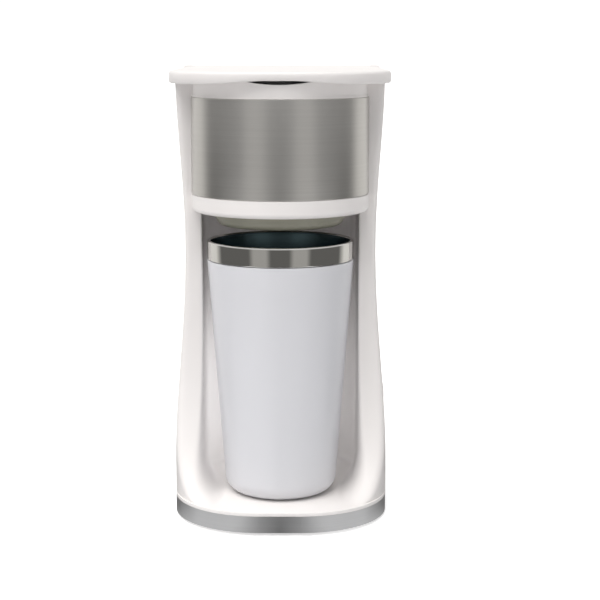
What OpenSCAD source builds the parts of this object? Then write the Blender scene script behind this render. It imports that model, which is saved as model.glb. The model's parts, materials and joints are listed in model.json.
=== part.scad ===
// Single serve drip coffee maker with its travel tumbler.
// Millimetres, +Z up, front towards -Y, origin on the table under the middle of the outline.

/* [Overall] */
// Distance from the middle of the outline back to the front end of the lid
lid_front = 82; // [80:0.5:86]
// Top surface of the deck that the tumbler stands on
deck_top = 14; // [13:0.5:18]
// Wall of the main mouldings
wall = 2.5; // [2:0.1:3]
// Running and assembly clearance between pieces
gap = 0.3; // [0.2:0.05:0.4]

/* [Housing] */
// Half width of the housing at its foot
foot_half = 64.4; // [63:0.2:68]
// Half width at the waist
waist_half = 57.5; // [56.5:0.5:60]
// Half width at the shoulder, above the top rim
shoulder_half = 62.6; // [61:0.2:64]
// Height of the waist
waist_z = 165; // [150:1:180]
// Height where the foot's flare ends
flare_z = 30; // [20:1:50]
// Radius of the plan's front corners
front_r = 52; // [48:1:54]
// Radius of the plan's rear corners
rear_r = 28; // [24:1:32]
// Half width of the niche between the pillars
niche_half = 47; // [46.5:0.1:48]
// Depth of the niche behind the head's axis
niche_depth = 70; // [68:1:74]
// Corner radius at the back of the niche
niche_r = 20; // [14:1:26]
// How far the pillars sweep forward at the deck
toe_reach = 38; // [30:1:40]
// Height where that sweep begins
sweep_z = 120; // [90:1:150]
// Radius where the niche's sides flow into the deck, at the pillars
side_fillet = 20; // [10:1:22]
// Radius where its back flows into the deck
back_fillet = 3; // [1:0.5:6]

/* [Head] */
// Outer radius of the steel band and the lower rim
head_r = 52.8; // [52:0.1:54]
// Height of the steel band
band_h = 57.7; // [50:0.1:60]
// Height of the lower rim under the band
low_rim_h = 10.2; // [8:0.2:14]
// Height of the top rim above the band
top_rim_h = 10.2; // [8:0.2:12]
// Thickness of the steel band
sheet = 0.6; // [0.5:0.1:0.8]
// Rise of the head's top rim above the housing
rim_rise = 2.5; // [1.5:0.1:2.6]
// Step of the top rim inside the band
rim_step = 1.2; // [0.8:0.1:1.6]
// Width of the finger scoop in the top rim
scoop_w = 16; // [12:1:20]

/* [Basket] */
// Outer radius of the bowl under the head
bowl_r = 41.5; // [39:0.5:42]
// Depth of the bowl below the head
bowl_drop = 8.4; // [6:0.2:9]
// Diameter of the drip hole
drip_d = 5; // [3:0.5:8]
// Number of ribs on the filter frame
filter_ribs = 6; // [4:1:10]

/* [Lid] */
// Half width of the lid
lid_half = 65.6; // [65:0.1:68]
// Thickness of the lid at its edge
lid_edge = 7.4; // [7:0.1:8]
// Rise of the lid's crown
lid_crown = 1.6; // [1:0.1:2]
// Rise of the arch in the lid's front lower edge
lid_arch = 2.4; // [1.5:0.1:2.6]
// Radius of the hinge barrel
barrel_r = 4.5; // [4:0.1:4.5]
// Diameter of the hinge pins
pin_d = 3; // [2.5:0.1:4]
// Hinge axis, behind the middle of the outline
hinge_y = 64.5; // [64:0.1:65]

/* [Tumbler] */
// Outer radius at the rim
mug_rim_r = 44; // [42:0.2:44.2]
// Height of the tumbler
mug_h = 154.8; // [140:0.2:160]
// Room between the tumbler's rim and the head
mug_room = 17.4; // [15:0.2:24]
// Height of the polished collar
collar_h = 11.4; // [9:0.2:14]
// Outer radius above the rounded foot
mug_foot_r = 34; // [32:0.2:36]
// Radius of the rounded foot
mug_round = 10; // [6:0.5:12]

/* [Water path] */
// Depth of the tank
tank_d = 24; // [22:0.5:24]
// Height of the tank's floor above the table
tank_floor = 101; // [99:1:120]
// Outer radius of the boiler tube
boiler_r = 5; // [4.5:0.1:5.4]
// Half distance between the boiler's legs
boiler_half = 26; // [25:0.5:26.5]
// Outer radius of the rising tube
riser_r = 3.6; // [3:0.1:4]

/* [Controls] */
// Radius of the power button
button_r = 6; // [5:0.2:7]
// Travel of the power button
button_travel = 1.8; // [1:0.1:2]
// Height of the power button above the table
button_z = 62; // [50:1:80]

/* [Base] */
// Height of the feet
foot_h = 2; // [1.5:0.1:3]
// Radius of the feet
foot_r = 7; // [5:0.5:9]
// Thickness of the bottom plate
plate_t = 2; // [1.6:0.1:2.4]

/* [Hidden] */
$fn = 64;

head_y = -26;                                  // axis of the head, basket and tumbler
lid_r = lid_front + head_y;                    // radius of the lid's front corners
lid_overhang = 2.5;                            // lid past the housing at the rear
rear_y = lid_front - lid_overhang;             // back face of the housing
niche_back = head_y + niche_depth;
rear_open = waist_half - rear_r - 2;           // half width of the rear opening
rear_lap = 3;                                  // how far the rear cover laps behind its opening
rear_post_x = rear_open - 7;                   // screws of the rear cover, from the middle
toe_power = 2.5;                               // how suddenly the pillars sweep forward
edge_out = 6;                                  // rounding of a pillar's outer front edge
edge_in_top = 1.5;                             // rounding of its inner edge at the top
edge_in_foot = 5.5;                            // and at the foot
cavity_toe = 8;                                // how far the pillar's hollow reaches into the toe
fillet_turn = 60;                              // angle that the deck's fillets turn through
toe_fillet = 6;                                // rounding between a pillar's toe and the deck
toe_lip = 1.6;                                // how far a toe stays inside the deck's edge
band_z = deck_top - 2;                         // top of the base band
mug_z = deck_top + 0.2;
mug_top = mug_z + mug_h;
head_bottom = mug_top + mug_room;              // underside of the head's lower rim
floor_z = head_bottom + wall;                  // top of the head's floor
band_low = head_bottom + low_rim_h;
band_top = band_low + band_h;
head_top = band_top + top_rim_h;
body_top = head_top - rim_rise;                // top rim of the housing
flare_top = body_top + 13;                     // where the shoulder's curve would end
rear_post_low = deck_top + 12;
rear_post_high = body_top - 9;
gland_z = deck_top + 12;
post_x = 26;                                   // screws of the bottom plate, from the middle
bowl_hole = bowl_r + 2 * gap;
basket_r = bowl_r + 1.9;                       // outside of the basket above its seat
basket_top = head_top - 19.6;                  // leaves room for the filter's handle
filter_seat = basket_top - 5;                  // ledge that the filter hangs on
filter_low = floor_z + 6;                      // bottom of the filter
mesh_t = 0.6;
scoop_depth = 2.2;
scoop_ball = 19;                               // ball that hollows out the finger scoop
lid_top = body_top + lid_edge;
lid_wall = 2.2;
lid_round = 2;
lid_back = hinge_y - barrel_r - gap;           // rear end of the opening lid
lid_rear_r = rear_r + lid_overhang;            // radius of the lid's rear corners
lid_turn = asin((lid_back - lid_front + lid_rear_r) / lid_rear_r);
hinge_z = body_top + barrel_r;
barrel_half = lid_half - 9;                    // half length of the hinge barrel
liner_z = head_top + gap;                      // underside of the lid's liner
liner_t = 1.2;
rear_lift = liner_z + liner_t + 0.2 - body_top;  // room under the rear edge for the hinge leaf
shower_r = 27;
shower_drop = 4;                               // shower plate below the lid's liner
pipe_y = niche_back + wall + 7.5;              // plane of the boiler, valve and riser
hose_wall = 1.8;
hose_r = boiler_r + 0.02 + hose_wall;
hose_top = tank_floor + 12;                    // above the upper end of the outlet hose
riser_x = hose_r + wall + gap - half_width(hose_top);
valve_z = tank_floor - 17;
leg_top = valve_z - 8;                         // upper ends of the boiler's legs
bend_z = deck_top + boiler_half + boiler_r + 1;
element_r = 4;
element_half = boiler_half - boiler_r - element_r - gap;
valve_x = boiler_half;
valve_h = tank_floor - valve_z - 3;
valve_r = 7;
clamp_t = 0.5;
ball_r = 3;
tank_wall = 1.8;
tank_y = niche_back + wall + 1 + tank_d / 2;
tank_left = riser_x + hose_r + 0.7;            // beside the rising tube
tank_right = waist_half - wall - 5.6;          // clear of the housing's rear corner
tank_w = tank_right - tank_left;
tank_x = (tank_left + tank_right) / 2;
elbow_r = (-riser_x - boiler_half) / 2;
button_y = 20;
button_x = half_width(button_z);
bezel_r = button_r + 3;
bezel_x = half_width(button_z - bezel_r) + 0.02;  // the wall at the bezel's lower edge
switch_size = 18;
seat_t = 1;
mug_wall = 1.5;
mug_slope = (mug_rim_r - mug_foot_r) / (mug_h - mug_round - collar_h);
steel = 0.8;
white = [0.93, 0.92, 0.91];
cool_white = [0.86, 0.87, 0.9];
brushed = [0.62, 0.61, 0.6];
polished = [0.72, 0.71, 0.7];
dark = [0.16, 0.17, 0.18];
clear_grey = [0.62, 0.66, 0.68];
rubber = [0.24, 0.24, 0.25];

function ease(u) = (1 - cos(180 * min(max(u, 0), 1))) / 2;
function mix(a, b, u) = a + (b - a) * u;
function mirrored(path) = [for (i = [len(path) - 1:-1:0]) [-path[i][0], path[i][1]]];
function reversed(path) = [for (i = [len(path) - 1:-1:0]) path[i]];
function arc(cx, cy, r, a0, a1, n) = [for (i = [0:n]) let (a = mix(a0, a1, i / n))
    [cx + r * cos(a), cy + r * sin(a)]];
function bend(p, q, r, n) = [for (i = [1:n]) let (u = i / n)
    (1 - u) * (1 - u) * p + 2 * u * (1 - u) * q + u * u * r];

// Outer radius of the tumbler at height z above its foot
function mug_r(z) = mug_foot_r + mug_slope * (z - mug_round);

// Half width of the housing at height z: wide foot, narrow waist, wider shoulder
function half_width(z) = z < waist_z
    ? mix(waist_half, foot_half, ease((waist_z - z) / (waist_z - flare_z)))
    : mix(waist_half, shoulder_half, ease((z - waist_z) / (flare_top - waist_z)));

// Overhang at height z of a hollow fillet of radius r that meets the deck at a slant, so its edge isn't a feather
function fillet(z, r) = let (h = r * sin(fillet_turn) - min(max(z - deck_top, 0), r * sin(fillet_turn)))
    r - sqrt(r * r - h * h);

// Front line of the pillars, sweeping forward towards the deck
function pillar_front(z) = head_y - fillet(z, toe_fillet)
    - toe_reach * pow(max(sweep_z - z, 0) / (sweep_z - deck_top), toe_power);

// Outer face of the housing at depth y and height z, moved in by t
function outer_x(z, y, t) = y >= head_y ? half_width(z) - t
    : half_width(z) - front_r
        + sqrt(pow(front_r - t - toe_lip * ease((head_y - y) / toe_reach), 2) - pow(head_y - y, 2));

// Side of the niche at depth y and height z, whose fillet grows from the back to the pillars
function niche_x(z, y) = niche_half
    - fillet(z, mix(back_fillet, side_fillet, min((niche_back - niche_r - y) / (niche_depth - niche_r), 1)));

// Right half of the housing's wall line: rear opening, corner, side, pillar, niche
function half_path(z, t) =
    let (front = t > 0 ? max(pillar_front(z) + t, head_y - cavity_toe) : pillar_front(z),
        x_in = niche_x(z, front) + t,
        x_out = outer_x(z, front, t),
        room = 0.45 * (x_out - x_in),
        r_out = min(edge_out - t, room),
        r_in = min(mix(edge_in_top, edge_in_foot, ease((waist_z - z) / waist_z)), room),
        side_start = rear_y - rear_r,
        side_end = front + r_out,
        corner = [x_out, front],
        side = [for (i = [1:7]) let (y = mix(side_start, side_end, 1 - pow(1 - i / 7, 2)))
            [outer_x(z, y, t), y]],
        wall_end = niche_back - niche_r,
        wall_in = [for (i = [1:2]) let (y = mix(front + r_in, wall_end, i / 3)) [niche_x(z, y) + t, y]])
    concat([[rear_open, rear_y - t]],
        arc(half_width(z) - rear_r, rear_y - rear_r, rear_r - t, 90, 0, 6),
        side,
        bend([outer_x(z, side_end, t), side_end], corner, corner - [r_out, 0], 4),
        [[x_in + r_in, front]],
        bend([x_in + r_in, front], [x_in, front], [x_in, front + r_in], 4),
        wall_in,
        arc(niche_half - niche_r, wall_end, niche_r + t - fillet(z, back_fillet), 0, 90, 6));

function wall_path(z, t) = let (half = half_path(z, t)) concat(half, mirrored(half));
function wall_ring(z) = concat(wall_path(z, 0), reversed(wall_path(z, wall)));

function middle(ring) = [for (k = [0:2]) let (v = [for (p = ring) p[k]]) (min(v) + max(v)) / 2];

// Solid through a stack of rings, each a closed list of 3D points.
// A walled ring runs out along one face and back along the other, and its ends close across the wall.
module loft(rings, walled = false) {
    n = len(rings[0]);
    last = len(rings) - 1;
    top = last * n;
    hubs = walled ? [] : [middle(rings[0]), middle(rings[last])];
    points = concat([for (ring = rings) each ring], hubs);
    sides = [for (k = [0:last - 1], i = [0:n - 1]) let (j = (i + 1) % n, a = k * n, b = a + n) each
        [[a + i, b + i, b + j], [a + i, b + j, a + j]]];
    across = [for (i = [0:n / 2 - 2]) let (j = n - 1 - i) each
        [[i, i + 1, j - 1], [i, j - 1, j],
        [top + i, top + j - 1, top + i + 1], [top + i, top + j, top + j - 1]]];
    fans = [for (i = [0:n - 1]) let (j = (i + 1) % n) each
        [[i, j, top + n], [top + j, top + i, top + n + 1]]];
    polyhedron(points, concat(sides, walled ? across : fans));
}

// Plan of the base and lid: straight sides, round front corners
module plan(half, r, back) {
    translate([-half, head_y]) square([2 * half, back - head_y]);
    translate([r - half, head_y - r]) square([2 * (half - r), r + 1]);
    for (s = [-1, 1]) translate([s * (half - r), head_y]) circle(r);
}

// Plan with round rear corners as well, moved in by t
module full_plan(half, front, back, corner, t) {
    plan(half - t, front - t, back - corner);
    translate([corner - half, back - corner - 1]) square([2 * (half - corner), corner + 1 - t]);
    for (s = [-1, 1]) translate([s * (half - corner), back - corner]) circle(corner - t);
}

module tube_z(x, y, z0, z1, r_out, r_in) {
    translate([x, y, z0]) difference() {
        cylinder(h = z1 - z0, r = r_out);
        translate([0, 0, -1]) cylinder(h = z1 - z0 + 2, r = r_in);
    }
}

module along_x(x0, x1, y, z, r) {
    translate([x0, y, z]) rotate([0, 90, 0]) cylinder(h = x1 - x0, r = r);
}

module along_y(x, y0, y1, z, r) {
    translate([x, y0, z]) rotate([-90, 0, 0]) cylinder(h = y1 - y0, r = r);
}

module main_housing() {
    steps = 7;
    fillet_h = side_fillet * sin(fillet_turn);
    foot = [for (i = [0:3]) deck_top + fillet_h - side_fillet * sin(fillet_turn * (1 - i / 3))];
    sweep = [for (i = [1:steps]) mix(deck_top + fillet_h, sweep_z, pow(i / steps, 1.2))];
    upper = [for (i = [1:steps]) mix(sweep_z, body_top, i / steps)];
    color(white) difference() {
        loft([for (z = concat(foot, sweep, upper)) [for (p = wall_ring(z)) [p[0], p[1], z]]], walled = true);
        along_x(niche_half + wall + 4, foot_half + 2, button_y, button_z, button_r + 1.6);
    }
}

module base_deck() {
    color(white) difference() {
        union() {
            translate([0, 0, band_z]) linear_extrude(deck_top - band_z)
                full_plan(foot_half, front_r, rear_y, rear_r, 0);
            translate([0, 0, foot_h + plate_t + gap]) linear_extrude(deck_top - foot_h - plate_t - 1)
                full_plan(foot_half, front_r, rear_y, rear_r, sheet + gap);
        }
        translate([0, 0, foot_h]) linear_extrude(deck_top - foot_h - wall)
            full_plan(foot_half, front_r, rear_y, rear_r, sheet + gap + wall);
    }
    color(white) for (p = base_posts()) tube_z(p[0], p[1], foot_h + plate_t, deck_top - wall / 2, 4, 1.3);
    color(white) for (s = [-1, 1]) difference() {
        translate([s * rear_post_x - 5, rear_y - wall - 8, deck_top - 1]) cube([10, 6, 22]);
        along_y(s * rear_post_x, rear_y - wall - 9, rear_y, rear_post_low, 1.45);
    }
}

function base_posts() = [for (s = [-1, 1], y = [head_y - 14, rear_y - 22]) [s * post_x, y]];

module base_plate() {
    color(white) difference() {
        translate([0, 0, foot_h]) linear_extrude(plate_t)
            full_plan(foot_half, front_r, rear_y, rear_r, sheet + gap);
        for (p = base_posts()) translate([p[0], p[1], 0]) {
            cylinder(h = deck_top, r = 1.7);
            cylinder(h = foot_h + 1.2, r = 2.8);
        }
        for (i = [-4:4]) translate([i * 8 - 1.5, 20, 0]) cube([3, 26, deck_top]);
    }
}

module base_band() {
    color(brushed) translate([0, 0, foot_h]) linear_extrude(band_z - foot_h) difference() {
        plan(foot_half, front_r, rear_y - rear_r);
        plan(foot_half - sheet, front_r - sheet, rear_y - rear_r + 1);
    }
}

module foot(side, y) {
    color(rubber) translate([side * 44, y, 0]) {
        cylinder(h = foot_h, r = foot_r);
    }
}

module screw_up(r) {
    cylinder(h = 1.1, r = 2 * r);
    cylinder(h = 7, r = r);
}

module base_screws() {
    color(polished) for (p = base_posts()) translate([p[0], p[1], foot_h]) screw_up(1.25);
}

function rear_posts() = [for (s = [-1, 1], z = [rear_post_low, rear_post_high]) [s * rear_post_x, z]];

// Upright plate across the back, lapping the opening by lap, from y0 to y1
module back_plate(lap, y0, y1) {
    translate([-rear_open - lap, y0, deck_top - lap + 3.5])
        cube([2 * (rear_open + lap), y1 - y0, body_top - deck_top + 2 * lap - 7]);
}

module rear_cover() {
    back = rear_y - wall;
    color(white) difference() {
        union() {
            translate([gap - rear_open, back, deck_top + gap])
                cube([2 * (rear_open - gap), wall, body_top - deck_top - 2 * gap]);
            back_plate(rear_lap, back - gap - 1.2, back - gap);
            back_plate(-1, back - gap - 1, back + 1);
        }
        for (i = [0:6]) translate([-rear_post_x + 4, back - 3, body_top - 46 - 6 * i])
            cube([2 * rear_post_x - 8, 12, 2.5]);
        for (i = [-3:3]) translate([6 * i - 1.25, back - 3, deck_top + 40]) cube([2.5, 12, 30]);
        along_y(0, back - 8, rear_y + 1, gland_z, 6);
        for (p = rear_posts()) {
            along_y(p[0], back - 8, rear_y + 1, p[1], 1.6);
            along_y(p[0], rear_y - 1.3, rear_y + 1, p[1], 3);
        }
    }
}

module rear_cover_screws() {
    color(polished) for (p = rear_posts()) {
        along_y(p[0], rear_y - 1.2, rear_y - 0.1, p[1], 2.7);
        along_y(p[0], rear_y - wall - 4.6, rear_y - 1.2, p[1], 1.4);
    }
}

module lid_outline(t) {
    full_plan(lid_half, lid_r, lid_front, rear_r + lid_overhang, t);
}

module cap_outline(t) {
    y0 = hinge_y + barrel_r + gap;
    intersection() {
        lid_outline(t);
        translate([-lid_half, y0]) square([2 * lid_half, lid_front - y0]);
    }
}

module rear_cap() {
    lug = lid_half - barrel_half - gap;
    color(white) difference() {
        union() {
            translate([0, 0, body_top]) linear_extrude(lid_edge - 1) cap_outline(0);
            translate([0, 0, body_top]) linear_extrude(lid_edge) cap_outline(1);
            intersection() {
                translate([0, 0, body_top - 1]) linear_extrude(20) lid_outline(0.4);
                for (s = [-1, 1]) {
                    x0 = s > 0 ? lid_half - lug : -lid_half;
                    along_x(x0, x0 + lug, hinge_y, hinge_z, barrel_r);
                    translate([x0, hinge_y - barrel_r, body_top]) cube([lug, 2 * barrel_r + 1, barrel_r]);
                }
            }
            for (s = [-1, 1]) translate([s * rear_post_x - 6, rear_y - wall - 4.8, rear_post_high - 6])
                cube([12, 3, body_top - rear_post_high + 7]);
        }
        for (s = [-1, 1])
            along_x(s > 0 ? barrel_half : -barrel_half - 5, s > 0 ? barrel_half + 5 : -barrel_half,
                hinge_y, hinge_z, pin_d / 2);
        for (s = [-1, 1]) along_y(s * rear_post_x, rear_y - wall - 7, rear_y - wall, rear_post_high, 1.45);
    }
}

module hinge_pins() {
    color(polished) for (s = [-1, 1])
        along_x(s > 0 ? barrel_half - 8 : -barrel_half - 5, s > 0 ? barrel_half + 5 : 8 - barrel_half,
            hinge_y, hinge_z, pin_d / 2);
}

module head_profile() {
    inner = head_r - sheet - wall - 0.4;
    difference() {
        union() {
            translate([bowl_hole, head_bottom]) square([head_r - bowl_hole - 3, wall]);
            translate([head_r - 3, head_bottom + 3]) circle(3);
            translate([inner, head_bottom + 3]) square([head_r - inner, low_rim_h - 3]);
            translate([inner, head_bottom + 1])
                square([head_r - sheet - 0.1 - inner, band_top - head_bottom]);
            translate([inner, band_top]) square([head_r - rim_step - inner, head_top - band_top]);
        }
        translate([0, floor_z]) square([inner, band_top]);
    }
}

module head_shell() {
    inner = head_r - sheet - wall - 0.4;
    half = niche_half - gap;
    back = niche_back - gap;
    scoop_cut = (pow(scoop_w / 2, 2) + pow(scoop_depth, 2)) / (2 * scoop_depth);
    scoop_up = scoop_cut - scoop_depth;
    scoop_out = sqrt(pow(scoop_ball, 2) - pow(scoop_cut, 2));
    color(white) difference() {
        union() {
            translate([0, head_y, 0]) rotate([0, 0, 180]) rotate_extrude(angle = 180) head_profile();
            translate([0, 0, head_bottom]) linear_extrude(body_top - head_bottom) intersection() {
                translate([-half, head_y]) square([2 * half, back - head_y]);
                union() {
                    translate([-half, head_y]) square([2 * half, back - head_y - niche_r]);
                    translate([niche_r - half, head_y]) square([2 * (half - niche_r), back - head_y]);
                    for (s = [-1, 1]) translate([s * (half - niche_r), back - niche_r]) circle(niche_r);
                }
            }
        }
        translate([0, 0, floor_z]) linear_extrude(head_top) {
            translate([wall - half, head_y - 1]) square([2 * (half - wall), back - head_y - niche_r + 1]);
            translate([niche_r - half, head_y]) square([2 * (half - niche_r), back - head_y - wall]);
            for (s = [-1, 1]) translate([s * (half - niche_r), back - niche_r]) circle(niche_r - wall);
        }
        translate([0, head_y, head_bottom - 1]) cylinder(h = 2 * wall + 2, r = bowl_hole);
        translate([0, head_y - head_r + rim_step - scoop_out, head_top + scoop_up])
            sphere(scoop_ball, $fn = 96);
    }
}

module head_band() {
    color(brushed) translate([0, head_y, 0]) rotate([0, 0, 180]) rotate_extrude(angle = 180)
        translate([head_r - sheet, band_low]) square([sheet, band_h]);
}

module tank_plan(t) {
    r = 12 - t;
    w = tank_w - 2 * t;
    d = tank_d - 2 * t;
    translate([tank_x - w / 2, tank_y - d / 2]) {
        square([w, d - r]);
        translate([r, 0]) square([w - 2 * r, d]);
        for (x = [r, w - r]) translate([x, d - r]) circle(r);
    }
}

module water_tank() {
    color(clear_grey) difference() {
        union() {
            translate([0, 0, tank_floor]) linear_extrude(body_top - tank_floor - 2 * gap) tank_plan(0);
            translate([tank_left, niche_back + 0.5, body_top]) cube([tank_w, wall + 0.5 + tank_wall, 1.2]);
            translate([tank_left, tank_y - tank_d / 2, body_top - 2]) cube([tank_w, tank_wall, 3.2]);
            translate([valve_x, pipe_y, tank_floor - 6]) cylinder(h = 7, r = 5);
        }
        translate([0, 0, tank_floor + tank_wall]) linear_extrude(body_top) tank_plan(tank_wall);
        translate([valve_x, pipe_y, tank_floor - 7]) cylinder(h = 12, r = 3.4);
    }
}

module check_valve_body() {
    color(clear_grey) translate([valve_x, pipe_y, 0]) difference() {
        union() {
            translate([0, 0, valve_z]) cylinder(h = valve_h, r = valve_r);
            translate([0, 0, valve_z - 7]) cylinder(h = 8, r = boiler_r);
        }
        translate([0, 0, tank_floor - 6.2]) cylinder(h = 20, r = 5 + gap / 3);
        translate([0, 0, valve_z + 3]) cylinder(h = valve_h, r = ball_r + 0.6);
        translate([0, 0, valve_z - 8]) cylinder(h = 20, r = 2);
    }
}

module valve_ball() {
    color(polished) translate([valve_x, pipe_y, valve_z + 3 + ball_r + 0.05]) sphere(r = ball_r);
}

module inlet_hose() {
    color(rubber) tube_z(valve_x, pipe_y, leg_top - 9, valve_z - gap, hose_r, boiler_r + 0.02);
}

module u_bend(half, r, top) {
    for (s = [-1, 1]) translate([s * half, pipe_y, bend_z]) cylinder(h = top - bend_z, r = r);
    translate([0, pipe_y, bend_z]) rotate([-90, 0, 0])
        rotate_extrude(angle = 180) translate([half, 0]) circle(r);
}

module boiler_tube() {
    color([0.75, 0.75, 0.74]) difference() {
        u_bend(boiler_half, boiler_r, leg_top);
        u_bend(boiler_half, boiler_r - 1.2, leg_top + 1);
    }
}

module heating_element() {
    color(polished) u_bend(element_half, element_r, leg_top - 10);
    color(dark) for (s = [-1, 1])
        translate([s * element_half, pipe_y, leg_top - 10]) cylinder(h = 6, r = 1.6);
}

module heater_bracket() {
    back = niche_back + wall;
    color(polished) {
        translate([-boiler_half - 8, back, bend_z - 4]) cube([2 * boiler_half + 16, 1.2, 24]);
        for (s = [-1, 1]) translate([s * boiler_half - 5, back, bend_z + 2])
            cube([10, pipe_y - boiler_r - back - 0.1, 10]);
    }
}

module thermostat() {
    back = niche_back + wall + 1.2;
    color(dark) {
        along_y(0, back, back + 3.5, bend_z + 14, 8);
        along_y(0, back + 3.5, back + 7, bend_z + 14, 5.5);
    }
}

module thermal_fuses() {
    back = niche_back + wall + 1.2;
    color(clear_grey) for (x = [-4, 4])
        along_x(x - 3.4, x + 3.4, back + 2.1, bend_z + (x < 0 ? -1 : 3.5), 2);
}

// Line of the outlet hose: off the boiler, sideways through two elbows, up to the riser
module outlet_line(r, over) {
    z1 = leg_top + 1;
    z2 = z1 + 2 * elbow_r;
    translate([-boiler_half, pipe_y, leg_top - 9 - over]) cylinder(h = 10 + over, r = r);
    translate([-boiler_half - elbow_r, pipe_y, z1]) rotate([90, 0, 0])
        rotate_extrude(angle = 90) translate([elbow_r, 0]) circle(r);
    translate([riser_x + elbow_r, pipe_y, z2]) rotate([90, 0, 0]) rotate([0, 0, 180])
        rotate_extrude(angle = 90) translate([elbow_r, 0]) circle(r);
    translate([riser_x, pipe_y, z2]) cylinder(h = 10 + over, r = r);
}

module outlet_hose() {
    color(rubber) difference() {
        outlet_line(hose_r, 0);
        outlet_line(riser_r - 1, 1);
        translate([-boiler_half, pipe_y, leg_top - 10]) cylinder(h = 10.5, r = boiler_r + 0.02);
        translate([riser_x, pipe_y, leg_top + 3 + 2 * elbow_r]) cylinder(h = 10, r = riser_r + 0.02);
    }
}

module riser_tube() {
    z0 = leg_top + 1 + 2 * elbow_r + 2.2;
    color(clear_grey) tube_z(riser_x, pipe_y, z0, body_top - 4, riser_r, riser_r - 1);
}

module riser_seal() {
    color(rubber) tube_z(riser_x, pipe_y, body_top - 10, liner_z - gap, riser_r + 1.8, riser_r + 0.02);
}

module hose_clamps() {
    color(polished) {
        for (x = [boiler_half, -boiler_half])
            tube_z(x, pipe_y, leg_top - 7, leg_top - 4, hose_r + clamp_t, hose_r + 0.02);
        tube_z(valve_x, pipe_y, valve_z - 5, valve_z - 2, hose_r + clamp_t, hose_r + 0.02);
    }
}

module switch_housing() {
    x0 = niche_half + wall + gap;
    color(dark) difference() {
        translate([x0, button_y - switch_size / 2, button_z - switch_size / 2])
            cube([button_x - wall - x0 - 0.8, switch_size, switch_size]);
        along_x(button_x - wall - 5, button_x, button_y, button_z, button_r + 0.4);
    }
}

module switch_bezel() {
    color(dark) difference() {
        union() {
            along_x(button_x - wall - 0.6, button_x + seat_t, button_y, button_z, button_r + 1.4);
            along_x(bezel_x, bezel_x + seat_t - 0.2, button_y, button_z, bezel_r);
        }
        along_x(button_x - 9, button_x + 9, button_y, button_z, button_r + gap);
    }
}

module power_button() {
    color(white) along_x(button_x - wall - 2.4, button_x + seat_t + button_travel - 1,
        button_y, button_z, button_r);
}

module terminal_block() {
    color(cool_white) difference() {
        translate([-50, niche_back + wall + 2, deck_top]) cube([14, 16, 13]);
        for (i = [0:2]) translate([-48 + 4.4 * i, niche_back, deck_top + 6]) cube([3, 30, 4]);
    }
}

module cord_gland() {
    color(dark) difference() {
        union() {
            along_y(0, rear_y - wall - 5, rear_y + 2.2, gland_z, 5.8);
            along_y(0, rear_y + 0.1, rear_y + 1.4, gland_z, 8);
        }
        along_y(0, rear_y - 12, rear_y + 9, gland_z, 3.6);
    }
}

module brew_basket() {
    z0 = head_bottom - bowl_drop;
    seat = floor_z + 0.2;
    top = basket_top;
    ledge = filter_seat;
    color(white) translate([0, head_y, 0]) rotate_extrude() polygon(concat(
        [[drip_d / 2, z0], [drip_d / 2, z0 - 1.4], [drip_d / 2 + 1.5, z0 - 1.4], [drip_d / 2 + 2, z0]],
        arc(bowl_r - 7.5, z0 + 4, 4, -90, -10, 6),
        [[bowl_r, head_bottom], [bowl_r, seat], [basket_r, seat], [basket_r, top - 2],
        [basket_r + 0.5, top - 2], [basket_r + 0.5, top], [basket_r - wall / 2, top],
        [basket_r - wall / 2, ledge],
        [basket_r - 2 - wall / 2, ledge], [bowl_r - wall, seat]],
        reversed(arc(bowl_r - 8.5, z0 + wall + 3, 3, -90, -10, 5)),
        [[drip_d / 2, z0 + wall - 1]]));
}

module filter_frame() {
    brim = bowl_r - 4;
    low_r = 17;
    color(dark) translate([0, head_y, 0]) {
        rotate_extrude() translate([brim, filter_seat + 0.1])
            square([basket_r - wall / 2 - gap - brim, 2.5]);
        rotate_extrude() translate([0, filter_low]) square([low_r, 1.6]);
        for (i = [0:filter_ribs - 1]) rotate([0, 0, 360 * i / filter_ribs]) rotate([90, 0, 0])
            translate([0, 0, -0.8]) linear_extrude(1.6)
                polygon([[low_r - 2, filter_low], [low_r, filter_low],
                    [brim + 2, filter_seat + 0.2], [brim, filter_seat + 0.2]]);
    }
}

module filter_mesh() {
    low = filter_low + 1.7;
    brim = bowl_r - 5;
    color(polished) translate([0, head_y, 0]) rotate_extrude()
        polygon([[14.2, low], [14.2 + mesh_t, low], [brim + mesh_t, filter_seat], [brim, filter_seat]]);
}

module filter_handle() {
    z0 = filter_seat + 2.6;
    color(dark) for (s = [-1, 1])
        translate([s * (bowl_r - 3) - 1.2, head_y - 6, z0]) cube([2.4, 12, 7]);
    color(dark) translate([2 - bowl_r, head_y - 4, z0 + 4.6]) cube([2 * bowl_r - 4, 8, 2.4]);
}

// Closed line of the lid moved in by t, at n points to a corner
function lid_line(t, n) =
    let (half = concat(arc(lid_half - lid_r, head_y, lid_r - t, -90, 0, n),
        [[lid_half - t, 10], [lid_half - t, lid_back - 18]],
        arc(lid_half - lid_rear_r, lid_front - lid_rear_r, lid_rear_r - t, 0, lid_turn - 3, 2),
        [[outer_corner_x(lid_back, t), lid_back - t], [outer_corner_x(lid_back, t) - 6, lid_back - t]]))
    concat(half, [for (i = [len(half) - 1:-1:0]) [-half[i][0], half[i][1]]]);

function outer_corner_x(y, t) = lid_half - lid_rear_r
    + sqrt(pow(lid_rear_r - t, 2) - pow(y - t - lid_front + lid_rear_r, 2));

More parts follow.
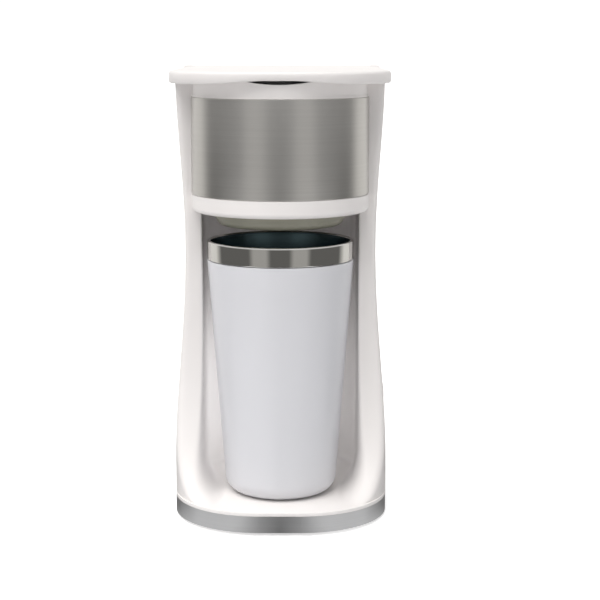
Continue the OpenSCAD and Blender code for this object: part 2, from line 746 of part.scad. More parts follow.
// Rise of the lid's lower edge: an arch at the front, room for the hinge leaf at the rear
function lift(p) = p[1] < head_y ? lid_arch * pow(cos(min(90 * abs(p[0]) / 44, 90)), 1.5)
    : p[1] > lid_back - lid_wall - 2 ? rear_lift : 0;
function lid_ring(t, z, follow, n) = [for (p = lid_line(t, n)) [p[0], p[1], z + follow * lift(p)]];
function lid_inner(scale, z, n) = let (y0 = (lid_back - lid_front) / 2)
    [for (p = lid_line(8, n)) [p[0] * scale, y0 + (p[1] - y0) * scale, z]];

module lid_cover() {
    n = 14;
    under = lid_top - 1.2;
    crown = [[0.98, 0.5], [0.8, 0.78], [0.55, 0.95], [0.25, 1]];
    color(white) loft(concat(
        [lid_inner(0.3, under, n), lid_ring(lid_wall + 0.4, under, 0, n),
        lid_ring(lid_wall, under - 0.4, 0, n), lid_ring(lid_wall, body_top + 0.5, 1, n),
        lid_ring(0.8, body_top, 1, n), lid_ring(0, body_top + 0.8, 1, n)],
        [for (a = [0:18:90]) let (in = lid_round * (1 - cos(a)), down = lid_round * (1 - sin(a)))
            lid_ring(in, lid_top - down, 0, n)],
        [lid_ring(4, lid_top + 0.2 * lid_crown, 0, n)],
        [for (c = crown) lid_inner(c[0], lid_top + c[1] * lid_crown, n)]));
}

module lid_liner() {
    leaf = barrel_half - 4;
    color(white) difference() {
        union() {
            translate([0, 0, liner_z]) linear_extrude(liner_t)
                plan(lid_half - lid_wall - gap - 0.7, lid_r - lid_wall - gap, lid_back - lid_wall - 0.6);
            translate([-leaf, lid_back - 8, liner_z]) cube([2 * leaf, 8 + barrel_r, liner_t]);
            along_x(-barrel_half, barrel_half, hinge_y, hinge_z, barrel_r);
        }
        translate([0, head_y, liner_z - 1]) cylinder(h = 4, r = shower_r + 1);
        translate([riser_x, pipe_y, liner_z - 1]) cylinder(h = 4, r = riser_r - 1.4);
        for (s = [-1, 1])
            along_x(s > 0 ? barrel_half - 9 : -barrel_half - 1, s > 0 ? barrel_half + 1 : 9 - barrel_half,
                hinge_y, hinge_z, pin_d / 2 + 0.05);
    }
}

// Covered gutter from the rising tube's seal to the middle of the shower plate
module channel_run(half, z0, z1) {
    turn_y = niche_back - 20;
    translate([riser_x - half, turn_y - half, z0]) cube([2 * half, pipe_y - turn_y + 2 * half, z1 - z0]);
    translate([riser_x - half, turn_y - half, z0]) cube([half - riser_x + half, 2 * half, z1 - z0]);
    translate([-half, head_y - half, z0]) cube([2 * half, turn_y - head_y + 2 * half, z1 - z0]);
}

module water_channel() {
    z0 = liner_z + liner_t;
    color(clear_grey) difference() {
        channel_run(3.1, z0, z0 + 2);
        channel_run(2.2, z0 - 1, z0 + 1);
    }
}

module shower_plate() {
    color(cool_white) translate([0, head_y, 0]) difference() {
        union() {
            translate([0, 0, liner_z - shower_drop]) cylinder(h = 2, r = shower_r);
            tube_z(0, 0, liner_z - shower_drop, liner_z + liner_t, shower_r + 0.6, shower_r - 1);
            tube_z(0, 0, liner_z - gap - 1, liner_z - gap, shower_r + 3, shower_r - 1);
        }
        for (ring = [1:3], i = [0:6 * ring - 1]) rotate([0, 0, 60 * i / ring])
            translate([shower_r / 4 * ring, 0, liner_z - shower_drop - 1]) cylinder(h = 4, r = 1);
    }
}

module mug_at() {
    translate([0, head_y, mug_z]) rotate_extrude() children();
}

module tumbler_shell() {
    top = mug_h - collar_h - 0.2;
    t = mug_wall;
    flat_r = mug_foot_r - mug_round;
    color(cool_white) mug_at() polygon(concat([[0, 1.2], [flat_r, 1.2]],
        arc(flat_r, mug_round, mug_round, -80, 0, 6),
        [[mug_r(top), top], [mug_r(top) - t, top]],
        arc(flat_r, mug_round, mug_round - t, 0, -80, 6),
        [[flat_r, 1.2 + t], [0, 1.2 + t]]));
}

module tumbler_liner() {
    shoulder = mug_h - collar_h;
    in_top = mug_rim_r - 2.6;
    in_low = mug_foot_r - 5;
    t = steel;
    color(polished) mug_at() polygon(concat(
        [[0, 5], [in_low - 5, 5], [in_low - 1, 6.5], [in_low, 10], [in_top, shoulder - 3],
        [mug_rim_r - 1.8, shoulder - 0.1], [mug_rim_r, shoulder - 0.1], [mug_rim_r, mug_h - 1]],
        arc(mug_rim_r - 1, mug_h - 1, 1, 30, 150, 4),
        [[mug_rim_r - 2, mug_h - 3], [in_top - t, shoulder - 4], [in_low - t, 10], [in_low - 1.8, 7],
        [in_low - 5.2, 5 + t], [0, 5 + t]]));
}

module tumbler_base_pad() {
    color(rubber) mug_at() square([mug_foot_r - mug_round - 1, 1.1]);
}

main_housing();
base_deck();
base_plate();
base_band();
foot(-1, head_y - 8);  // foot_front_left
foot(1, head_y - 8);  // foot_front_right
foot(-1, rear_y - 16);  // foot_rear_left
foot(1, rear_y - 16);  // foot_rear_right
base_screws();
rear_cover();
rear_cover_screws();
rear_cap();
hinge_pins();
head_shell();
head_band();
water_tank();
check_valve_body();
valve_ball();
inlet_hose();
boiler_tube();
heating_element();
heater_bracket();
thermostat();
thermal_fuses();
outlet_hose();
riser_tube();
riser_seal();
hose_clamps();
switch_housing();
switch_bezel();
power_button();
terminal_block();
cord_gland();
brew_basket();
filter_frame();
filter_mesh();
filter_handle();
lid_cover();
lid_liner();
water_channel();
shower_plate();
tumbler_shell();
tumbler_liner();
tumbler_base_pad();
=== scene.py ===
import bpy
import json
from math import radians, sin, cos, sqrt
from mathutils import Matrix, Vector


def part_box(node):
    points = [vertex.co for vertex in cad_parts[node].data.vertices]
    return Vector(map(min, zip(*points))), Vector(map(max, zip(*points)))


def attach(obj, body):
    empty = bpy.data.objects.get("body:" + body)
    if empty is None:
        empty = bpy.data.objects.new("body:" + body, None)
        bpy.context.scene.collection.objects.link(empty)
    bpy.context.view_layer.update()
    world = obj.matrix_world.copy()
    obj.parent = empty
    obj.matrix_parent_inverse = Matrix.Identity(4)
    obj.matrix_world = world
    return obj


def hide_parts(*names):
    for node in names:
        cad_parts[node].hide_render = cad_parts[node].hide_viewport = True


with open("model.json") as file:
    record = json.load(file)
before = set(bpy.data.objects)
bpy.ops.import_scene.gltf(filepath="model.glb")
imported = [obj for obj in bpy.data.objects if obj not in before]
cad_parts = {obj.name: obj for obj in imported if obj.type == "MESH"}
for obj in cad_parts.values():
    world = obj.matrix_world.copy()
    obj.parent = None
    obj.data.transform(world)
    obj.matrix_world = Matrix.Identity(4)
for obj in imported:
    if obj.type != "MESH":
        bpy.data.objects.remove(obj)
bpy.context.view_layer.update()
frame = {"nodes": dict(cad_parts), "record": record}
scene = bpy.context.scene
mm = 0.001
headY = -26 * mm  # axis shared by the head, the basket and the tumbler
print("frame loaded:", len(frame["nodes"]), "nodes")

# the camera stands a little to the right and looks slightly down

cameraView = {
    "lens": 90.9,
    "place": (11.8 * mm, -930 * mm, 284.9 * mm),
    "pitch": 9.62,  # degrees below level
}
cameraData = bpy.data.cameras.new("studioCamera")
cameraData.lens = cameraView["lens"]
cameraData.sensor_width = 36
cameraData.clip_start = 0.05
camera = bpy.data.objects.new("studioCamera", cameraData)
camera.location = cameraView["place"]
camera.rotation_euler = (radians(90 - cameraView["pitch"]), 0, 0)
scene.collection.objects.link(camera)
scene.camera = camera
scene.view_settings.view_transform = "Standard"
print("camera set")


class Wire:  # one shader socket, so that node maths reads as sums
    def __init__(self, shade, socket):
        self.shade = shade
        self.socket = socket

    def maths(self, operation, first, second):
        return self.shade.node("Math", {"operation": operation}, {0: first, 1: second})

    def __add__(self, other):
        return self.maths("ADD", self, other)

    def __sub__(self, other):
        return self.maths("SUBTRACT", self, other)

    def __mul__(self, other):
        return self.maths("MULTIPLY", self, other)

    def __truediv__(self, other):
        return self.maths("DIVIDE", self, other)

    __radd__ = __add__
    __rmul__ = __mul__


class Shade:  # one node tree, of a material or of the world
    def __init__(self, name, owner=None):
        self.owner = owner or bpy.data.materials.new(name)
        self.owner.use_nodes = True
        self.tree = self.owner.node_tree
        self.surface = self.tree.nodes.get("Principled BSDF")
        self.place = self.node("TexCoord", {}, {}, "Object")

    def node(self, kind, settings, sockets, output=0):
        made = self.tree.nodes.new("ShaderNode" + kind)
        for key, value in settings.items():
            if key == "stops":
                self.setStops(made.color_ramp, value)
            else:
                setattr(made, key, value)
        for key, value in sockets.items():
            self.plug(made.inputs[key], value)
        return Wire(self, made.outputs[output])

    def setStops(self, ramp, stops):
        while len(ramp.elements) < len(stops):
            ramp.elements.new(1.0)
        for element, (position, colour) in zip(ramp.elements, stops):
            element.position = position
            element.color = (*colour, 1)

    def plug(self, socket, value):
        if isinstance(value, Wire):
            self.tree.links.new(value.socket, socket)
        elif isinstance(value, tuple) and socket.type == "RGBA":
            socket.default_value = (*value, 1)
        else:
            socket.default_value = value

    def set(self, **sockets):
        for key, value in sockets.items():
            self.plug(self.surface.inputs[key.replace("_", " ")], value)

    def mix(self, factor, first, second):
        return self.node("Mix", {"data_type": "RGBA"}, {0: factor, 6: first, 7: second}, 2)

    def mapped(self, stretch):
        return self.node("Mapping", {}, {"Vector": self.place, "Scale": stretch})

    def noise(self, scale, detail, stretch=None):
        place = self.mapped(stretch) if stretch else self.place
        return self.node("TexNoise", {}, {"Vector": place, "Scale": scale, "Detail": detail}, "Fac")

    def ramp(self, factor, stops):
        return self.node("ValToRGB", {"stops": stops}, {"Fac": factor})

    def split(self, vector):
        axes = self.node("SeparateXYZ", {}, {0: vector}).socket.node.outputs
        return [Wire(self, axis) for axis in axes]

    def bump(self, height, strength, distance):
        sockets = {"Strength": strength, "Distance": distance, "Height": height}
        return self.node("Bump", {}, sockets, "Normal")


# finishes

whiteLook = {
    "light": (0.86, 0.835, 0.82),
    "deep": (0.835, 0.808, 0.79),
    "rough": 0.3,
    "grain": 0.06,  # strength of the fine moulding texture
}


def mouldedWhite():
    shade = Shade("warmWhite")
    mottle = shade.noise(9, 3)
    grain = shade.noise(1400, 2)
    shade.set(Base_Color=shade.mix(mottle, whiteLook["light"], whiteLook["deep"]),
              Roughness=whiteLook["rough"] + 0.08 * mottle,
              Normal=shade.bump(grain, whiteLook["grain"], 0.15 * mm))
    return shade.owner


steelLook = {
    "bright": (0.66, 0.645, 0.62),
    "dull": (0.52, 0.505, 0.485),
    "rough": 0.31,
    "hairs": 5200,  # brushed lines to the metre, up the sheet
    "spread": 0.8,  # how much further a highlight runs across the lines
}
baseLook = dict(steelLook, bright=(0.655, 0.655, 0.66), dull=(0.52, 0.52, 0.525))  # a cooler sheet


def brushedSteel(name, look):
    shade = Shade(name)
    hairs = shade.noise(1, 3, (35, 35, look["hairs"]))
    broad = shade.noise(1, 2, (6, 6, look["hairs"] / 6))
    lines = 0.6 * hairs + 0.4 * broad
    shade.set(Base_Color=shade.mix(lines, look["dull"], look["bright"]), Metallic=1.0,
              Roughness=look["rough"] + 0.16 * hairs,
              Normal=shade.bump(lines, 0.2, 0.1 * mm),
              Anisotropic=look["spread"], Anisotropic_Rotation=0.25)
    return shade.owner


def polishedSteel(name, colour, rough):
    shade = Shade(name)
    smear = shade.noise(60, 3)
    shade.set(Base_Color=colour, Metallic=1.0, Roughness=rough + 0.05 * smear)
    return shade.owner


def coatedSteel():
    shade = Shade("tumblerCoat")
    peel = shade.noise(700, 2)
    cloud = shade.noise(12, 2)
    shade.set(Base_Color=shade.mix(cloud, (0.71, 0.715, 0.745), (0.69, 0.695, 0.722)),
              Roughness=0.26 + 0.08 * cloud, Normal=shade.bump(peel, 0.05, 0.2 * mm))
    return shade.owner


def plainPlastic(name, first, second, rough, grain=0.15):
    shade = Shade(name)
    cloud = shade.noise(40, 3)
    shade.set(Base_Color=shade.mix(cloud, first, second), Roughness=rough + 0.1 * cloud,
              Normal=shade.bump(shade.noise(2200, 2), grain, 0.1 * mm))
    return shade.owner


warmWhite = mouldedWhite()
brushed = brushedSteel("brushedSteel", steelLook)
mirror = polishedSteel("mirrorSteel", (0.66, 0.65, 0.625), 0.04)
# the tumbler's inside: steel given a near-black colour, painted shade standing in for the shade down its
# bore
paintedShadeBore = polishedSteel("tumblerBorePaintedShade", (0.10, 0.15, 0.165), 0.22)
screwSteel = polishedSteel("screwSteel", (0.55, 0.54, 0.53), 0.28)
tumblerCoat = coatedSteel()
blackPlastic = plainPlastic("blackPlastic", (0.018, 0.018, 0.02), (0.028, 0.028, 0.03), 0.45)
smokePlastic = plainPlastic("smokePlastic", (0.30, 0.33, 0.35), (0.26, 0.29, 0.31), 0.25)
bowlGrey = plainPlastic("bowlGrey", (0.30, 0.295, 0.235), (0.27, 0.265, 0.21), 0.3, 0.08)
palePlastic = plainPlastic("palePlastic", (0.62, 0.62, 0.62), (0.56, 0.56, 0.56), 0.4)
silicone = plainPlastic("silicone", (0.03, 0.03, 0.032), (0.045, 0.045, 0.048), 0.6, 0.25)
aluminium = polishedSteel("castAluminium", (0.6, 0.6, 0.6), 0.38)

finishes = {
    "housing_white": warmWhite,
    "basket_grey": bowlGrey,
    "brushed_steel": brushed,
    "polished_steel": screwSteel,
    "tumbler_white": tumblerCoat,
    "dark_plastic": blackPlastic,
    "clear_plastic": smokePlastic,
    "pale_plastic": palePlastic,
    "silicone": silicone,
    "boiler_metal": aluminium,
}
bodyOf = {node: body for body, nodes in frame["record"]["behaviour"]["bodies"].items() for node in nodes}
slotOf = {part["node"]: part["material_slot"] for part in frame["record"]["subparts"]}
for name, slot in slotOf.items():
    node = frame["nodes"][name]
    node.data.materials.clear()
    node.data.materials.append(finishes[slot])
frame["nodes"]["base_band"].data.materials[0] = brushedSteel("baseSteel", baseLook)
print("finishes made")

# ways of making a piece

mergeWithin = 0.004 * mm
edgeRules = {"flat": 0.6, "hard": 50, "segments": 3}  # angles that count as flat, and as an edge to soften


def deselectAll():
    if bpy.context.object and bpy.context.object.mode != "OBJECT":
        bpy.ops.object.mode_set(mode="OBJECT")
    bpy.ops.object.select_all(action="DESELECT")


def takeUp(piece):
    deselectAll()
    piece.select_set(True)
    bpy.context.view_layer.objects.active = piece


def dress(piece, name, material, nodes, smooth=35):
    # names the piece, gives it its finish and puts it in place of its nodes
    piece.name = name
    piece.data.name = name
    piece.data.materials.clear()
    piece.data.materials.append(material)
    takeUp(piece)
    bpy.ops.object.shade_smooth_by_angle(angle=radians(smooth))
    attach(piece, bodyOf[nodes[0]])
    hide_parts(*nodes)
    print("made", name)
    return piece


def lathe(profile, steps=160, sweep=360):
    # profile is a list of (radius, height) in mm, spun about the head's axis
    deselectAll()
    bpy.ops.mesh.primitive_plane_add(size=1 * mm, location=(0, 0, 0))
    piece = bpy.context.object
    bpy.ops.object.mode_set(mode="EDIT")
    bpy.ops.mesh.merge(type="CENTER")
    bpy.ops.transform.translate(value=(profile[0][0] * mm, headY, profile[0][1] * mm))
    last = profile[0]
    for radius, height in profile[1:]:
        step = ((radius - last[0]) * mm, 0, (height - last[1]) * mm)
        bpy.ops.mesh.extrude_region_move(TRANSFORM_OT_translate={"value": step})
        last = (radius, height)
    bpy.ops.mesh.select_all(action="SELECT")
    bpy.ops.mesh.spin(steps=steps, angle=radians(sweep), center=(0, headY, 0), axis=(0, 0, 1))
    closeUp(piece)
    return piece


def closeUp(piece):
    # merges what lies together and turns the faces outwards
    bpy.ops.mesh.select_all(action="SELECT")
    bpy.ops.mesh.remove_doubles(threshold=mergeWithin)
    bpy.ops.mesh.normals_make_consistent(inside=False)
    bpy.ops.object.mode_set(mode="OBJECT")


def curveRound(centre, radius, start, end, steps):
    # points of an arc in a profile, angles in degrees
    turns = [radians(start + (end - start) * i / steps) for i in range(steps + 1)]
    return [(centre[0] + radius * cos(turn), centre[1] + radius * sin(turn)) for turn in turns]


def carve(piece, radius, length, place, rotation, steps=64):
    # takes a cylinder, sized and placed in mm, out of a piece
    deselectAll()
    bpy.ops.mesh.primitive_cylinder_add(vertices=steps, radius=radius * mm, depth=length * mm,
                                        location=Vector(place) * mm, rotation=rotation)
    drill = bpy.context.object
    takeUp(piece)
    hole = piece.modifiers.new("hole", "BOOLEAN")
    hole.object = drill
    bpy.ops.object.modifier_apply(modifier=hole.name)
    bpy.data.objects.remove(drill)


def smoothCopy(node, name, soften=0, smooth=40):
    # a merged copy of a moulding, with its hard edges softened by so many mm
    piece = frame["nodes"][node].copy()
    piece.data = frame["nodes"][node].data.copy()
    scene.collection.objects.link(piece)
    takeUp(piece)
    bpy.ops.object.mode_set(mode="EDIT")
    bpy.ops.mesh.select_all(action="SELECT")
    bpy.ops.mesh.remove_doubles(threshold=mergeWithin)
    bpy.ops.object.mode_set(mode="OBJECT")
    if soften:
        bpy.ops.object.mode_set(mode="EDIT")
        bpy.ops.mesh.select_all(action="SELECT")
        bpy.ops.mesh.dissolve_limited(angle_limit=radians(edgeRules["flat"]))
        bpy.ops.object.mode_set(mode="OBJECT")
        bevel = piece.modifiers.new("softEdges", "BEVEL")
        bevel.width = soften * mm
        bevel.segments = edgeRules["segments"]
        bevel.limit_method = "ANGLE"
        bevel.angle_limit = radians(edgeRules["hard"])
        bpy.ops.object.modifier_apply(modifier=bevel.name)
    return dress(piece, name, finishes[slotOf[node]], [node], smooth)


# mouldings

smoothCopy("base_deck", "baseDeck", 0.8)
smoothCopy("brew_basket", "brewBasket", 0, 25)

# main housing: rings from the deck up to the shoulder, whose pillars flow out into the deck

housing = {
    "foot": 64.4, "waist": 57.5, "shoulder": 62.6,  # half widths
    "waistHeight": 165, "flareHeight": 30,
    "frontRadius": 52, "rearRadius": 28, "rearOpening": 27.5, "wall": 2.5,
    "niche": 47, "nicheDepth": 70, "nicheRadius": 20,
    "toeReach": 38, "toeHeight": 105, "toeLip": 1.6,  # the pillars' sweep forward
    "sideFillet": (13, 26), "backFillet": (3, 4),  # width and height where the niche flows into the deck
    "outerEdge": 6, "innerEdge": 1.5, "toeEdge": (13, 40),
    "outerShare": 0.3, "innerShare": 0.62,  # most of a thin toe's width that its two edges may take
    "flareTop": 13,  # where the shoulder's curve would end, above the housing
    "hollow": 8,  # how far the inside reaches into the toe
    "buttonHole": 7.6, "drillX": 60, "drillLength": 16,
    "sweepRings": 30, "upperRings": 22,
}
ringSteps = {"corner": 14, "side": 16, "edge": 8, "toe": 10, "niche": 7}  # along each part of a ring
deckTop, bodyTop = (corner[2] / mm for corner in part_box("main_housing"))
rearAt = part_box("main_housing")[1][1] / mm
headAt = headY / mm
nicheBack = headAt + housing["nicheDepth"]
cornerEnd = nicheBack - housing["nicheRadius"]


def ease(share):
    return (1 - cos(radians(180) * min(max(share, 0), 1))) / 2


def between(first, second, share):
    return first + (second - first) * share


def halfWidth(height):
    if height < housing["waistHeight"]:
        drop = (housing["waistHeight"] - height) / (housing["waistHeight"] - housing["flareHeight"])
        return between(housing["waist"], housing["foot"], ease(drop))
    climb = (height - housing["waistHeight"]) / (bodyTop + housing["flareTop"] - housing["waistHeight"])
    return between(housing["waist"], housing["shoulder"], ease(climb))


def overhang(above, reach, tall):
    # a hollow quarter of an ellipse: upright at its top, level on the deck
    low = max(tall - max(above, 0), 0) / tall
    return reach * (1 - sqrt(1 - low * low))


def bendRound(start, corner, end, pointCount):
    # points from start to end, drawn towards the corner, without the start itself
    shares = [i / pointCount for i in range(1, pointCount + 1)]
    return [tuple((1 - u) ** 2 * a + 2 * u * (1 - u) * b + u * u * c for a, b, c in zip(start, corner, end))
            for u in shares]


def housingLine(height, inset):
    # right half of the wall at one height: rear opening, corner, side, pillar, niche
    above = height - deckTop
    side = halfWidth(height)
    sweep = overhang(above, housing["toeReach"], housing["toeHeight"])
    front = headAt - sweep if not inset else max(headAt - sweep + inset, headAt - housing["hollow"])

    def outerX(y):
        if y >= headAt:
            return side - inset
        lip = housing["toeLip"] * ease((headAt - y) / housing["toeReach"])
        radius = housing["frontRadius"]
        return side - radius + sqrt((radius - inset - lip) ** 2 - (headAt - y) ** 2)

    def nicheX(y):
        forward = min(max((cornerEnd - y) / (cornerEnd - headAt), 0), 1)
        wide, tall = (between(atBack, atFront, forward)
                      for atBack, atFront in zip(housing["backFillet"], housing["sideFillet"]))
        return housing["niche"] - overhang(above, wide, tall) + inset

    room = outerX(front) - nicheX(front)
    share = sweep / housing["toeReach"]
    outerEdge = min(housing["outerEdge"] - inset, housing["outerShare"] * room)
    edgeX = min(between(housing["innerEdge"], housing["toeEdge"][0], share), housing["innerShare"] * room)
    edgeY = between(housing["innerEdge"], housing["toeEdge"][1], share)
    rear, sideStart, sideEnd = housing["rearRadius"], rearAt - housing["rearRadius"], front + outerEdge
    sideCount, nicheCount = ringSteps["side"], ringSteps["niche"]
    sideYs = [between(sideStart, sideEnd, 1 - (1 - i / sideCount) ** 2) for i in range(1, sideCount + 1)]
    nicheYs = [between(front + edgeY, cornerEnd, i / nicheCount) for i in range(1, nicheCount)]
    outerCorner = (outerX(front), front)
    innerCorner = (nicheX(front), front)
    line = [(housing["rearOpening"], rearAt - inset)]
    line += curveRound((side - rear, sideStart), rear - inset, 90, 0, ringSteps["corner"])
    line += [(outerX(y), y) for y in sideYs]
    line += bendRound((outerX(sideEnd), sideEnd), outerCorner, (outerCorner[0] - outerEdge, front),
                      ringSteps["edge"])
    line += [(innerCorner[0] + edgeX, front)]
    line += bendRound((innerCorner[0] + edgeX, front), innerCorner,
                      (nicheX(front + edgeY), front + edgeY), ringSteps["toe"])
    line += [(nicheX(y), y) for y in nicheYs]
    corner = housing["nicheRadius"] + inset - overhang(above, *housing["backFillet"])
    centre = (housing["niche"] - housing["nicheRadius"], cornerEnd)
    return line + curveRound(centre, corner, 0, 90, ringSteps["corner"])


def housingRing(height):
    # out along the outer face and back along the inner one
    ring = []
    for inset, order in ((0, 1), (housing["wall"], -1)):
        half = housingLine(height, inset)
        whole = half + [(-x, y) for x, y in reversed(half)]
        ring += whole[::order]
    return [(x * mm, y * mm, height * mm) for x, y in ring]


sweepRings, upperRings = housing["sweepRings"], housing["upperRings"]
heights = [deckTop + housing["toeHeight"] * (1 - cos(radians(90 * i / sweepRings)))
           for i in range(sweepRings + 1)]
heights += [between(heights[-1], bodyTop, i / upperRings) for i in range(1, upperRings + 1)]
rings = [housingRing(height) for height in heights]
count = len(rings[0])
faces = []
for low in range(0, (len(rings) - 1) * count, count):
    high = low + count
    faces += [(low + i, low + (i + 1) % count, high + (i + 1) % count, high + i) for i in range(count)]
for start in (0, (len(rings) - 1) * count):  # across the wall, at the foot and at the top
    end = start + count - 1
    faces += [(start + i, start + i + 1, end - 1 - i, end - i) for i in range(count // 2 - 1)]
shellMesh = bpy.data.meshes.new("mainHousing")
shellMesh.from_pydata([point for ring in rings for point in ring], [], faces)
housingPiece = bpy.data.objects.new("mainHousing", shellMesh)
scene.collection.objects.link(housingPiece)
takeUp(housingPiece)
bpy.ops.object.mode_set(mode="EDIT")
closeUp(housingPiece)
buttonAt = [(low + high) / 2 / mm for low, high in zip(*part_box("switch_bezel"))]
drillAt = (housing["drillX"], *buttonAt[1:])
carve(housingPiece, housing["buttonHole"], housing["drillLength"], drillAt, (0, radians(90), 0))
dress(housingPiece, "mainHousing", warmWhite, ["main_housing"], 40)

lidPiece = smoothCopy("lid_cover", "lidCover")
capPiece = smoothCopy("rear_cap", "rearCap", 0, 30)

# the head's rim dips a little under the lid's front edge, which leaves a slit for a fingertip

slit = {"half": 23, "depth": 2.6, "y": -75, "length": 20, "steps": 256}
headPiece = smoothCopy("head_shell", "headShell", 0, 9)
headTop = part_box("head_shell")[1][2] / mm
slitRadius = (slit["half"] ** 2 + slit["depth"] ** 2) / (2 * slit["depth"])
slitAt = (0, slit["y"], headTop + slitRadius - slit["depth"])
carve(headPiece, slitRadius, slit["length"], slitAt, (radians(90), 0, 0), slit["steps"])
bpy.ops.object.shade_smooth_by_angle(angle=radians(30))

# the true normals of the curved faces, which their long triangles would spoil

rimFacing = 0.99  # how squarely a face of the head looks outwards if it belongs to the round rim
crown = {
    "foot": 7.3,  # mm above the housing
    "lean": 0.7,  # how much its normals lean out to the metre
    "turned": -0.5,  # the few slivers that look down keep their own normals
}
crownFoot = (bodyTop + crown["foot"]) * mm


def roundNormals(piece, pick):
    # pick gives the true normal of a curved surface at a point of a face, or None
    mesh = piece.data
    normals = [corner.vector.copy() for corner in mesh.corner_normals]
    for face in mesh.polygons:
        for index in face.loop_indices:
            wanted = pick(mesh.vertices[mesh.loops[index].vertex_index].co, face)
            if wanted:
                normals[index] = wanted
    mesh.normals_split_custom_set(normals)


def rimNormal(point, face):
    outward = Vector((point.x, point.y - headY, 0)).normalized()
    return outward if point.y < headY and face.normal.dot(outward) > rimFacing else None


def crownNormal(point, face):
    if point.z > crownFoot and face.normal.z > crown["turned"]:
        return Vector((crown["lean"] * point.x, crown["lean"] * point.y, 1)).normalized()
    return None


roundNormals(headPiece, rimNormal)
roundNormals(lidPiece, crownNormal)
roundNormals(capPiece, crownNormal)

# tumbler

tumbler = {"height": 154.8, "rim": 44.0, "collar": 11.4, "footRadius": 34.0, "round": 10.0}
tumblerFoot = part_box("tumbler_base_pad")[0][2] / mm
rimTop = tumblerFoot + tumbler["height"]
collarFoot = rimTop - tumbler["collar"]
wallFoot = tumblerFoot + tumbler["round"]
flare = (tumbler["rim"] - tumbler["footRadius"]) / (collarFoot - wallFoot)


def tumblerRadius(height):
    return tumbler["footRadius"] + flare * (height - wallFoot)


shellTop = collarFoot - 0.3
topRadius = tumblerRadius(shellTop)
flatRadius = tumbler["footRadius"] - tumbler["round"]
shell = ([(0, tumblerFoot + 1.2), (flatRadius - 1, tumblerFoot + 1.2), (flatRadius - 1, tumblerFoot + 0.1)]
         + curveRound((flatRadius, wallFoot), tumbler["round"], -88, 0, 14)
         + [(tumblerRadius(height), height) for height in (60, 100, 140, shellTop - 0.8)]
         + [(topRadius - 0.1, shellTop - 0.35), (topRadius - 0.4, shellTop - 0.05),
            (topRadius - 1.6, shellTop), (31, 30), (0, tumblerFoot + 2.8)])
dress(lathe(shell), "tumblerShell", tumblerCoat, ["tumbler_shell"])

rim = tumbler["rim"]
liner = ([(0, tumblerFoot + 5), (24, tumblerFoot + 5), (29, 24), (rim - 2.6, collarFoot - 3),
          (rim - 1.7, collarFoot), (rim - 0.5, collarFoot - 0.1), (rim - 0.1, collarFoot + 0.2),
          (rim, collarFoot + 0.8), (rim, rimTop - 1.3)]
         + curveRound((rim - 1.1, rimTop - 1.1), 1.1, 0, 180, 8)
         + [(rim - 2.5, rimTop - 3), (rim - 3.4, collarFoot - 3), (28.2, 25), (24, tumblerFoot + 5.8),
            (0, tumblerFoot + 5.8)])
linerPiece = dress(lathe(liner), "tumblerLiner", mirror, ["tumbler_liner"])
linerPiece.data.materials.append(paintedShadeBore)
# the inner wall and inner floor below the rim take the painted shade of the bore
for face in linerPiece.data.polygons:
    inward = face.normal.xy.dot(face.center.xy - Vector((0, headY))) < 0
    if (inward or face.normal.z > 0.9) and face.center.z < (rimTop - 1.5) * mm:
        face.material_index = 1

# brew head

band = {"radius": 52.8, "sheet": 0.6, "edge": 0.45, "seam": 0.35}  # seam: the dark line above and below
bandLow, bandTop = (corner[2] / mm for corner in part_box("head_band"))
bandLow += band["seam"]
bandTop -= band["seam"]
outer, inner = band["radius"], band["radius"] - band["sheet"]
bandProfile = ([(inner, bandLow), (outer - band["edge"], bandLow)]
               + curveRound((outer - band["edge"], bandLow + band["edge"]), band["edge"], -60, 0, 3)
               + curveRound((outer - band["edge"], bandTop - band["edge"]), band["edge"], 0, 90, 4)
               + [(inner, bandTop), (inner, bandLow)])
dress(lathe(bandProfile, 120, 180), "headBand", brushed, ["head_band"])

# studio

floorLook = {"colour": (0.93, 0.93, 0.93), "bounce": (0.66, 0.66, 0.67), "lift": 0.5, "size": 60}


def flatCard(name, size, place):
    deselectAll()
    bpy.ops.mesh.primitive_plane_add(size=1, location=place)
    card = bpy.context.object
    card.name = name
    card.scale = (*size, 1)
    bpy.ops.object.transform_apply(location=True, rotation=True, scale=True)
    return card


floor = flatCard("studioFloor", (floorLook["size"], floorLook["size"]), (0, 0, 0))
floorShade = Shade("studioFloor")
cameraRay = Wire(floorShade, floorShade.node("LightPath", {}, {}).socket.node.outputs["Is Camera Ray"])
floorShade.set(Base_Color=floorShade.mix(cameraRay, floorLook["bounce"], floorLook["colour"]), Roughness=0.8,
               Emission_Color=floorShade.mix(cameraRay, (0, 0, 0), (floorLook["lift"],) * 3),
               Emission_Strength=1.0)
floor.data.materials.append(floorShade.owner)
floor.visible_glossy = False  # steel shows the room below, not the floor

# the white floor close by, as only the base's steel shows it: bright, with a dark gap in the middle
sheen = {"width": 700, "depth": 560, "front": -360, "lift": 0.3}
sheenAt = [(-350, 0.9), (-35, 0.9), (0, 0.1), (35, 0.9), (350, 0.9)]
sheenFade = [(-62, 1.0), (-18, 0.1)]  # further back it darkens
card = flatCard("sheenCard", (sheen["width"] * mm, sheen["depth"] * mm),
                (0, (sheen["front"] + sheen["depth"] / 2) * mm, sheen["lift"] * mm))
sheenShade = Shade("sheenCard")
sideways, back, _ = sheenShade.split(sheenShade.place)
glow = sheenShade.ramp(sideways / (sheen["width"] * mm) + 0.5,
                       [(x / sheen["width"] + 0.5, (level,) * 3) for x, level in sheenAt])
fade = sheenShade.ramp(back / (sheen["depth"] * mm) - sheen["front"] / sheen["depth"],
                       [((y - sheen["front"]) / sheen["depth"], (level,) * 3) for y, level in sheenFade])
sheenShade.set(Base_Color=(0, 0, 0), Roughness=1.0, Emission_Strength=1.0,
               Emission_Color=sheenShade.mix(fade, (0, 0, 0), glow))
card.data.materials.append(sheenShade.owner)
card.visible_camera = card.visible_diffuse = card.visible_shadow = False

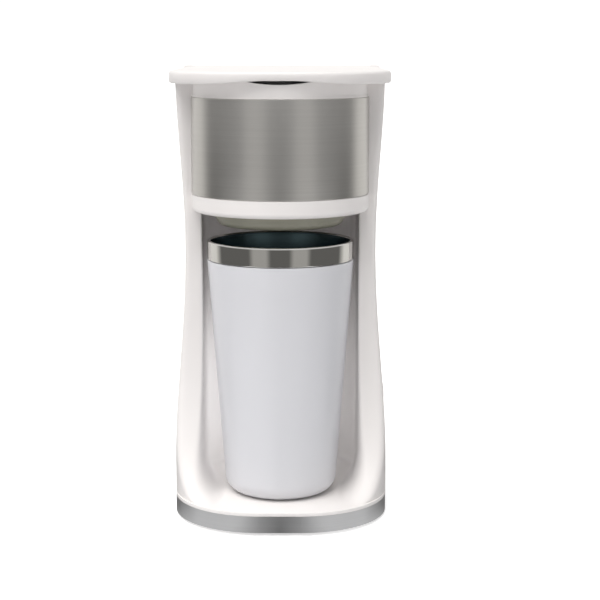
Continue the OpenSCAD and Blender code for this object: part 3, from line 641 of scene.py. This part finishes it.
# a plain studio as polished steel sees it, by turn from the camera: pale behind, dim in front, with a
# softbox on either side of the camera
room = [(-180, 0.85), (-120, 0.85), (-105, 0.15), (-50, 0.15), (-42, 0.45), (-22, 0.45), (-14, 0.15),
        (14, 0.15), (22, 0.45), (42, 0.45), (50, 0.15), (105, 0.15), (120, 0.85), (180, 0.85)]
roomLight = {"fill": 0.47, "background": 1.05, "upper": 0.85, "tint": (1.0, 0.985, 0.95)}

world = bpy.data.worlds.new("studioWorld")
scene.world = world
sky = Shade("studioWorld", world)
across, along, up = sky.split(sky.node("TexCoord", {}, {}, "Generated"))
turn = sky.node("Math", {"operation": "ARCTAN2"}, {0: across, 1: -1 * along}) / radians(360) + 0.5
bands = sky.ramp(turn, [((angle + 180) / 360, tuple(level * c for c in roomLight["tint"]))
                        for angle, level in room])
height = sky.node("MapRange", {"interpolation_type": "SMOOTHSTEP"},
                  {"Value": up, "From Min": -0.1, "From Max": 0.6})
seen = sky.mix(height, bands, (roomLight["upper"],) * 3)
rays = sky.node("LightPath", {}, {}).socket.node.outputs
lit = sky.mix(Wire(sky, rays["Is Glossy Ray"]), (roomLight["fill"],) * 3, seen)
shown = sky.mix(Wire(sky, rays["Is Camera Ray"]), lit, (roomLight["background"],) * 3)
sky.plug(world.node_tree.nodes["Background"].inputs["Color"], shown)


def softLight(name, place, direction, size, power, colour):
    data = bpy.data.lights.new(name, "AREA")
    data.shape = "RECTANGLE"
    data.size, data.size_y = size
    data.energy = power
    data.color = colour
    lamp = bpy.data.objects.new(name, data)
    lamp.location = place
    lamp.rotation_euler = direction.to_track_quat("-Z", "Y").to_euler()
    lamp.visible_camera = False
    lamp.visible_glossy = False
    scene.collection.objects.link(lamp)


softSun = {"power": 2.7, "turn": -34, "height": 63, "softness": 55, "colour": (1, 0.982, 0.972)}
sunData = bpy.data.lights.new("softSun", "SUN")
sunData.energy = softSun["power"]
sunData.angle = radians(softSun["softness"])
sunData.color = softSun["colour"]
sun = bpy.data.objects.new("softSun", sunData)
sun.rotation_euler = (radians(90 - softSun["height"]), 0, radians(softSun["turn"]))
sun.visible_glossy = False
scene.collection.objects.link(sun)

# two slim lights behind the tumbler keep the niche as pale as the rest
nicheGlow = {"x": 2, "y": 31, "z": 66, "size": (0.022, 0.1), "turn": -0.25, "colour": (0.97, 0.98, 1)}
for name, side, power in (("nicheGlowLeft", -1, 0.018), ("nicheGlowRight", 1, 0.0045)):
    place = Vector((nicheGlow["x"] * side, nicheGlow["y"], nicheGlow["z"])) * mm
    softLight(name, place, Vector((side, nicheGlow["turn"], 0)), nicheGlow["size"], power,
              nicheGlow["colour"])
print("studio set")
